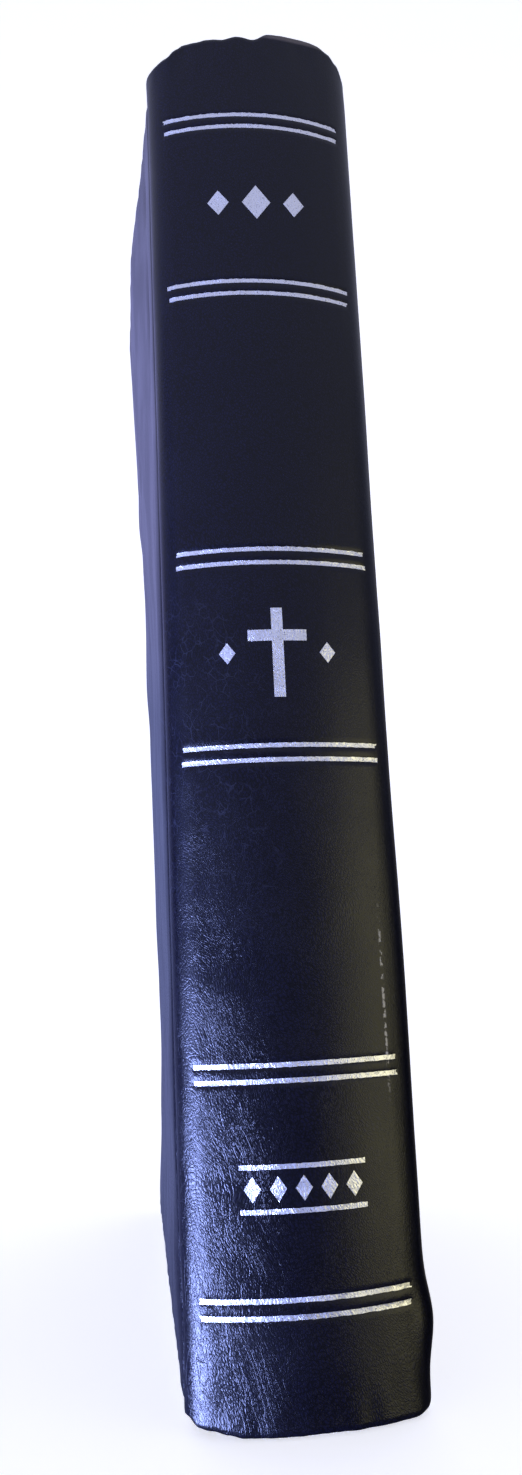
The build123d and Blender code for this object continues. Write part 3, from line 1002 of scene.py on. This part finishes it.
# ---------------------------------------------------------------------------------------------
# Pages
# ---------------------------------------------------------------------------------------------
LEAF_CORNER = 8.0
SHEETS = 6
PAGE_SEED = 700
FOLD_STOPS = (
    0.4, 0.9, 1.6, 2.5, 3.6, 5.0, 6.6, 8.4, 10.5, 13.0, 16.0, 19.5, 23.0, 27.0, 31.0, 36.0, 50.0, 75.0, 100.0,
)
LEAF_TURNS = [math.radians(a) for a in (0, 15, 30, 45, 60, 75, 90)]
FOLD_TURNS = [math.radians(a) for a in (0, 30, 60, 90, 120, 150, 180)]


def leaf_stops(fold_v, fore_v, trim):
    """Depths along one leaf and how far its head and tail are rounded off there."""
    stops = [(fold_v + d, 0.0) for d in FOLD_STOPS if fold_v + d < fore_v - LEAF_CORNER - 2]
    far = fore_v + trim
    stops += [
        (far - LEAF_CORNER + LEAF_CORNER * math.sin(a), LEAF_CORNER * (1 - math.cos(a))) for a in LEAF_TURNS
    ]
    return stops


def pressed_in(x, v):
    """Where a page at x stands once the pages are pressed thinner and the halves meet at the fore-edge."""
    share = fore_edge_share(v)
    return x * (1 - FORE_EDGE_LEAN * share / (strip_low.x / MM)) - math.copysign(MIDDLE_CLOSING * share, x)


def make_signature(number):
    """A gathering of folded sheets, each its own thin fold, with silvered edges."""
    node = f"signature_{number:02d}"
    low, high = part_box(node)
    middle = (low.x + high.x) / 2 / MM
    half = (high.x - low.x) / 2 / MM
    fold_v = (low.y - CROWN_Y) / MM + half
    fore_v = (high.y - CROWN_Y) / MM
    tail, head = low.z / MM, high.z / MM
    chance = random.Random(PAGE_SEED + number)
    pitch = half / SHEETS
    thin = 0.8 * pitch
    points, faces, slots = [], [], []
    for sheet in range(SHEETS):
        radius = half - (sheet + 0.5) * pitch
        path = []
        trims = [chance.uniform(-0.09, 0.0) for _ in range(2)]
        cuts = [chance.uniform(-0.05, 0.0) for _ in range(2)]
        for way, trim, cut in ((-1, trims[0], cuts[0]), (1, trims[1], cuts[1])):
            run = [(way * radius, v, off - cut, (way, 0.0)) for v, off in leaf_stops(fold_v, fore_v, trim)]
            if way < 0:
                path += run[::-1]
                for a in FOLD_TURNS:
                    nx, nv = -math.cos(a), -math.sin(a)
                    path.append((radius * nx, fold_v + radius * nv, 0.03, (nx, nv)))
            else:
                path += run
        first = len(points)
        for x, v, off, (nx, nv) in path:
            for share in (0.5, -0.5):
                pv = v + nv * thin * share
                px = pressed_in(middle + x + nx * thin * share, pv)
                ends = (tail + off, head - off) if share > 0 else (head - off, tail + off)
                points += [place(px, pv, ends[0]), place(px, pv, ends[1])]
        columns = len(path)
        for c in range(columns - 1):
            a, b = first + 4 * c, first + 4 * (c + 1)
            for k in range(4):
                n = (k + 1) % 4
                faces.append((a + k, a + n, b + n, b + k))
                slots.append(1 if k % 2 else 0)
        last = first + 4 * (columns - 1)
        faces += [(first + 3, first + 2, first + 1, first), (last, last + 1, last + 2, last + 3)]
        slots += [1, 1]
    piece = make_piece(f"leaves_{number:02d}", points, faces, [PAGE, EDGE], slots, flat=True)
    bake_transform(piece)
    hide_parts(node)


def make_flyleaf(side):
    """A free endpaper: a flat leaf with round corners at its fore-edge."""
    name = SIDE_NAMES[side]
    low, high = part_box(f"{name}_flyleaf")
    near = low.x / MM if side == FRONT else high.x / MM
    far = high.x / MM if side == FRONT else low.x / MM
    start_v, fore_v = (low.y - CROWN_Y) / MM, (high.y - CROWN_Y) / MM
    tail, head = low.z / MM, high.z / MM
    stops = [(start_v, 0.0)] + leaf_stops(start_v, fore_v, 0.0)
    points = []
    for v, off in stops:
        for x, z in ((far, tail + off), (far, head - off), (near, head - off), (near, tail + off)):
            points.append(place(pressed_in(x, v), v, z))
    faces = sheet_faces(len(stops), 4)
    last = 4 * (len(stops) - 1)
    faces += [(3, 2, 1, 0), (last, last + 1, last + 2, last + 3)]
    if side == BACK:
        faces = turned(faces)
    piece = make_piece(f"{name}_free_leaf", points, faces, [ENDPAPER], flat=True)
    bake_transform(piece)
    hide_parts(f"{name}_flyleaf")


def make_endpaper_hinge(side):
    """The paper that runs from the block across the joint to the pasted-down leaf."""
    name = SIDE_NAMES[side]
    inner = strip_high.x / MM + 0.03
    outer = HALF - edge_thickness(PANEL_START) - 0.08
    start_v, end_v = (strip_low.y - CROWN_Y) / MM + 0.6, PANEL_V + 1.4
    points = []
    parts = 22
    for k in range(parts + 1):
        v = start_v + (end_v - start_v) * k / parts
        x = inner + (outer - inner) * smooth(start_v + 2.0, end_v - 1.0, v)
        ring = []
        for shift, ends in ((0.05, (PAGE_TAIL, PAGE_HEAD)), (-0.05, (PAGE_HEAD, PAGE_TAIL))):
            for z in ends:
                bow = cover_bow(side, v, z) * smooth(SHOULDER_V, PANEL_V, v) * smooth(start_v + 2, end_v, v)
                ring.append(place(side * (x + shift + bow), v, z))
        points += ring
    faces = sheet_faces(parts + 1, 4)
    last = 4 * parts
    faces += [(3, 2, 1, 0), (last, last + 1, last + 2, last + 3)]
    if side == BACK:
        faces = turned(faces)
    piece = make_piece(f"{name}_endpaper_hinge", points, faces, [ENDPAPER], flat=True)
    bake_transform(piece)


# ---------------------------------------------------------------------------------------------
# Stamped foil
# ---------------------------------------------------------------------------------------------


def foil_patch(points, faces, grid):
    """Adds a thin foil patch over a grid of (s, z) places, with its edges pressed into the leather."""
    first = len(points)
    rows, columns = len(grid), len(grid[0])
    for row in grid:
        for s, z in row:
            points.append(skin_point(s, z, -FOIL_LIFT))

    def at(r, c):
        return first + r * columns + c

    for r in range(rows - 1):
        for c in range(columns - 1):
            faces.append((at(r, c), at(r, c + 1), at(r + 1, c + 1), at(r + 1, c)))
    around = [(0, c) for c in range(columns)] + [(r, columns - 1) for r in range(1, rows)]
    around += [(rows - 1, c) for c in range(columns - 2, -1, -1)] + [(r, 0) for r in range(rows - 2, 0, -1)]
    base = len(points)
    for r, c in around:
        s, z = grid[r][c]
        points.append(skin_point(s, z, FOIL_SINK))
    count = len(around)
    for k in range(count):
        n = (k + 1) % count
        faces.append((at(*around[k]), base + k, base + n, at(*around[n])))


def ragged(chance, amount):
    return chance.uniform(-amount, amount)


def rule_grid(middle, half_run, chance, step=0.4):
    """A ruled line with slightly uneven edges."""
    parts = max(2, round(2 * half_run / step))
    grid = []
    for share in (-0.5, 0.0, 0.5):
        row = []
        for k in range(parts + 1):
            s = -half_run + 2 * half_run * k / parts
            row.append((s, middle + share * (RULE_WIDTH + ragged(chance, 0.07))))
        grid.append(row)
    return grid


def finish_foil(name, points, faces, node):
    piece = make_piece(name, points, faces, [FOIL])
    sharpen(piece, 35.0)
    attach(piece, "spine")
    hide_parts(node)


RULE_SEED = 41


def make_rules():
    chance = random.Random(RULE_SEED)
    points, faces = [], []
    for middle in RULE_HEIGHTS:
        for step in (-1, 1):
            end = RULE_END - 0.05 + ragged(chance, 0.06)
            foil_patch(points, faces, rule_grid(middle + step * RULE_SPACING / 2, end, chance))
    finish_foil("stamped_double_rules", points, faces, "foil_double_rules")
    points, faces = [], []
    low = (RULE_HEIGHTS[0] + RULE_HEIGHTS[1]) / 2
    for step in (-1, 1):
        middle = low + step * SHORT_RULE_SPACING / 2
        foil_patch(points, faces, rule_grid(middle, run_at(SHORT_RULE_HALF), chance))
    finish_foil("stamped_short_rules", points, faces, "foil_short_rules")


def block_grid(low_x, high_x, low_z, high_z, step=0.45):
    across = max(1, math.ceil((high_x - low_x) / step))
    up = max(1, math.ceil((high_z - low_z) / step))
    runs = [run_at(low_x + (high_x - low_x) * c / across) for c in range(across + 1)]
    return [[(s, low_z + (high_z - low_z) * r / up) for s in runs] for r in range(up + 1)]


def lozenge_grid(middle_x, middle_z, width, height, parts=8):
    """A lozenge as a square grid turned on its point."""
    grid = []
    for r in range(parts + 1):
        row = []
        for c in range(parts + 1):
            a, b = c / parts - 0.5, r / parts - 0.5
            row.append((run_at(middle_x + (a - b) * width / 2), middle_z + (a + b) * height / 2))
        grid.append(row)
    return grid


CROSS_HEIGHT = 13.6
CROSS_WIDTH = 8.8
CROSS_BAR = 1.7
CROSS_ARMS = 9.4


def make_cross():
    foot = (RULE_HEIGHTS[2] + RULE_HEIGHTS[3]) / 2 - CROSS_HEIGHT / 2
    half_bar = CROSS_BAR / 2
    arms = foot + CROSS_ARMS
    points, faces = [], []
    foil_patch(points, faces, block_grid(-half_bar, half_bar, foot, foot + CROSS_HEIGHT))
    for low_s, high_s in ((-CROSS_WIDTH / 2, -half_bar), (half_bar, CROSS_WIDTH / 2)):
        foil_patch(points, faces, block_grid(low_s, high_s, arms - half_bar, arms + half_bar))
    finish_foil("stamped_cross", points, faces, "foil_cross")


# Lozenges as (middle, width, height) across the spine
TOP_LOZENGES = ((-6.1, 3.4, 4.4), (0.0, 4.6, 6.0), (6.1, 3.4, 4.4))
CROSS_LOZENGES = ((-7.5, 2.4, 3.2), (7.5, 2.4, 3.2))
LOW_LOZENGES = tuple(((k - 2) * 3.5, 2.3, 3.3) for k in range(5))


def make_lozenges():
    points, faces = [], []
    for panel, lozenges in ((4, TOP_LOZENGES), (2, CROSS_LOZENGES), (0, LOW_LOZENGES)):
        height = (RULE_HEIGHTS[panel] + RULE_HEIGHTS[panel + 1]) / 2
        for middle, width, tall in lozenges:
            foil_patch(points, faces, lozenge_grid(middle, height, width, tall))
    finish_foil("stamped_lozenges", points, faces, "foil_lozenges")


# ---------------------------------------------------------------------------------------------
# Head and tail bands, ribbon
# ---------------------------------------------------------------------------------------------


def make_band(name, node, head):
    """Threads wound over a core along the fold ends, in turns of two colours, with a cloth flange."""
    low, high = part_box(node)
    radius = 0.82
    offset = (low.y - CROWN_Y) / MM + radius
    bend = SPINE_RADIUS - offset
    span = math.asin(min(1.0, (high.x / MM - radius * 0.3) / bend))
    middle_z = (high.z / MM - radius) if head else (low.z / MM + radius)
    turns = 40
    around = 12
    steps = turns * 6
    points, faces, slots = [], [], []
    for k in range(steps + 1):
        angle = -span + 2 * span * k / steps
        swell = radius * (0.86 + 0.14 * abs(math.sin(math.pi * turns * k / steps)))
        for m in range(around):
            a = math.tau * m / around
            out = bend + swell * math.cos(a)
            z = middle_z + swell * math.sin(a)
            points.append(place(out * math.sin(angle), SPINE_RADIUS - out * math.cos(angle), z))
    faces = sheet_faces(steps + 1, around)
    slots = [(k // around // 6) % 2 for k in range(len(faces))]
    faces += [tuple(range(around)), tuple(reversed(range(steps * around, (steps + 1) * around)))]
    slots += [0, 0]
    flange_low = low.z / MM if head else middle_z
    flange_high = middle_z if head else high.z / MM
    first = len(points)
    parts = 40
    for k in range(parts + 1):
        angle = -span + 2 * span * k / parts
        for out, z in ((0.9, flange_low), (0.9, flange_high), (0.66, flange_high), (0.66, flange_low)):
            reach = bend + out
            points.append(place(reach * math.sin(angle), SPINE_RADIUS - reach * math.cos(angle), z))
    flange = sheet_faces(parts + 1, 4, first=first)
    flange += [(first, first + 1, first + 2, first + 3)]
    last = first + 4 * parts
    flange += [(last + 3, last + 2, last + 1, last)]
    piece = make_piece(name, points, faces + flange, [BAND_DARK, BAND_LIGHT], slots + [0] * len(flange))
    sharpen(piece, 50.0)
    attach(piece, "spine")
    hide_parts(node)


def make_ribbon():
    """A satin marker pressed in the gutter, a little wavy and cut at a slant."""
    low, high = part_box("ribbon_marker")
    near, far = (low.y - CROWN_Y) / MM, (high.y - CROWN_Y) / MM
    bottom, top = low.z / MM, high.z / MM
    slant = 2.5
    parts, across = 80, 6
    points = []
    for k in range(parts + 1):
        share = k / parts
        ring = []
        for x, order in ((0.05, range(across + 1)), (-0.05, range(across, -1, -1))):
            for c in order:
                v = near + (far - near) * c / across
                foot = bottom + slant * (1 - c / across)
                z = foot + (top - foot) * share
                ring.append(place(x + 0.03 * ripple(v / 2, z / 14, 4.0), v, z))
        points += ring
    ring = 2 * (across + 1)
    faces = sheet_faces(parts + 1, ring) + strip_caps(ring, parts * ring, turn_first=False)
    piece = make_piece("satin_marker", points, faces, [RIBBON])
    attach(piece, "back_block")
    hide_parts("ribbon_marker")


# ---------------------------------------------------------------------------------------------
# Build
# ---------------------------------------------------------------------------------------------
make_spine_skin()
for one_side in (FRONT, BACK):
    make_joint_skin(one_side)
    make_cover_skin(one_side)
    make_board(one_side)
    make_pastedown(one_side)
    make_flyleaf(one_side)
    make_endpaper_hinge(one_side)
for number in range(1, 25):
    make_signature(number)
make_rules()
make_cross()
make_lozenges()
make_band("head_band", "headband", True)
make_band("tail_band", "tailband", False)
make_ribbon()


# ---------------------------------------------------------------------------------------------
# Studio: floor, lights and camera
# ---------------------------------------------------------------------------------------------


def make_floor():
    """A pale floor that sweeps up into a backdrop."""
    material, _, shader = new_material("studio paper")
    shader.inputs["Base Color"].default_value = (0.86, 0.86, 0.87, 1)
    shader.inputs["Roughness"].default_value = 0.9
    shader.inputs["Specular IOR Level"].default_value = 0.1
    shader.inputs["Emission Color"].default_value = (1, 1, 1, 1)
    shader.inputs["Emission Strength"].default_value = 0.6
    width, front, back, bend, height = 4.0, -3.0, 1.2, 1.0, 4.0
    profile = [(front, 0.0), (back, 0.0)]
    turns = [math.radians(k * 9) for k in range(1, 11)]
    profile += [(back + bend * math.sin(a), bend * (1 - math.cos(a))) for a in turns]
    profile.append((back + bend, height))
    points = []
    for y, z in profile:
        points += [(-width, y, z - 0.0002), (width, y, z - 0.0002)]
    floor = make_piece("studio_floor", points, sheet_faces(len(profile), 2, closed_ring=False), [material])
    floor.visible_glossy = False
    floor.visible_shadow = False


def add_area(name, position, target, size, power, colour):
    light = bpy.data.lights.new(name, "AREA")
    light.shape = "RECTANGLE"
    light.size, light.size_y = size
    light.energy = power
    light.color = colour
    lamp = bpy.data.objects.new(name, light)
    lamp.location = position
    lamp.rotation_euler = (Vector(target) - Vector(position)).to_track_quat("-Z", "Y").to_euler()
    bpy.context.scene.collection.objects.link(lamp)
    return lamp


# Places and sizes in metres, powers in watts
WINDOW_PLACE, WINDOW_AIM = (-0.458, -0.222, -0.168), (-0.013, CROWN_Y + 0.004, 0.02)
WINDOW_SIZE, WINDOW_POWER, WINDOW_COLOUR = (0.44, 0.19), 23.5, (0.34, 0.43, 1.0)
LAMP_PLACE, LAMP_AIM = (0.39, -0.39, 0.02), (0.01, CROWN_Y, 0.06)
LAMP_SIZE, LAMP_POWER, LAMP_COLOUR = (0.30, 0.36), 0.68, (1.0, 0.93, 0.50)


def light_studio():
    world = bpy.data.worlds.new("studio air")
    bpy.context.scene.world = world
    world.use_nodes = True
    nodes = Nodes(world.node_tree)
    where = nodes.add("ShaderNodeTexCoord").outputs["Generated"]
    toward = nodes.add("ShaderNodeSeparateXYZ", {"Vector": where})
    behind = nodes.ramp(toward.outputs["Y"], 0.58, 0.80)
    turned_right = nodes.ramp(toward.outputs["X"], 0.02, 0.16)
    upward = nodes.ramp(toward.outputs["Z"], 0.17, 0.36)
    window = nodes.colours(upward, (0.31, 0.36, 0.79, 1), (0.50, 0.52, 1.10, 1))
    backdrop = nodes.colours(turned_right, window, (0.26, 0.24, 0.24, 1))
    sideways = nodes.ramp(nodes.math("ABSOLUTE", toward.outputs["X"]), 0.75, 0.95)
    room = nodes.colours(sideways, (0.38, 0.40, 0.55, 1), (0.15, 0.165, 0.28, 1))
    in_front = nodes.ramp(toward.outputs["Z"], -0.12, 0.45, 0.10, 1.15)
    room = nodes.add("ShaderNodeVectorMath", {0: room, "Scale": in_front}, operation="SCALE")
    at_back = nodes.ramp(toward.outputs["Z"], -0.34, -0.14, 0.3, 1.0)
    backdrop = nodes.add("ShaderNodeVectorMath", {0: backdrop, "Scale": at_back}, operation="SCALE")
    air = nodes.colours(behind, room.outputs[0], backdrop.outputs[0])
    path = nodes.add("ShaderNodeLightPath")
    colour = nodes.colours(path.outputs["Is Camera Ray"], air, (1.0, 1.0, 1.0, 1))
    sky = nodes.add("ShaderNodeBackground", {"Color": colour, "Strength": 1.0})
    nodes.add("ShaderNodeOutputWorld", {"Surface": sky})
    add_area("window_low_left", WINDOW_PLACE, WINDOW_AIM, WINDOW_SIZE, WINDOW_POWER, WINDOW_COLOUR)
    add_area("lamp_right", LAMP_PLACE, LAMP_AIM, LAMP_SIZE, LAMP_POWER, LAMP_COLOUR)


CAMERA_PLACE = (-0.0224, CROWN_Y - 0.1567, 0.0618)
CAMERA_YAW, CAMERA_PITCH, CAMERA_ROLL = 7.01, 11.02, -2.59
SENSOR_WIDTH, LENS_LENGTH = 36.0, 27.06
CLIP_NEAR, CLIP_FAR = 0.005, 20.0


def add_camera():
    camera = bpy.data.objects.new("camera", bpy.data.cameras.new("camera"))
    bpy.context.scene.collection.objects.link(camera)
    camera.data.sensor_width = SENSOR_WIDTH
    camera.data.lens = LENS_LENGTH
    camera.data.clip_start = CLIP_NEAR
    camera.data.clip_end = CLIP_FAR
    yaw = Matrix.Rotation(math.radians(-CAMERA_YAW), 4, "Z")
    pitch = Matrix.Rotation(math.radians(90 + CAMERA_PITCH), 4, "X")
    roll = Matrix.Rotation(math.radians(CAMERA_ROLL), 4, "Z")
    camera.matrix_world = Matrix.Translation(CAMERA_PLACE) @ yaw @ pitch @ roll
    bpy.context.scene.camera = camera


make_floor()
light_studio()
add_camera()
bpy.context.scene.view_settings.view_transform = "Standard"
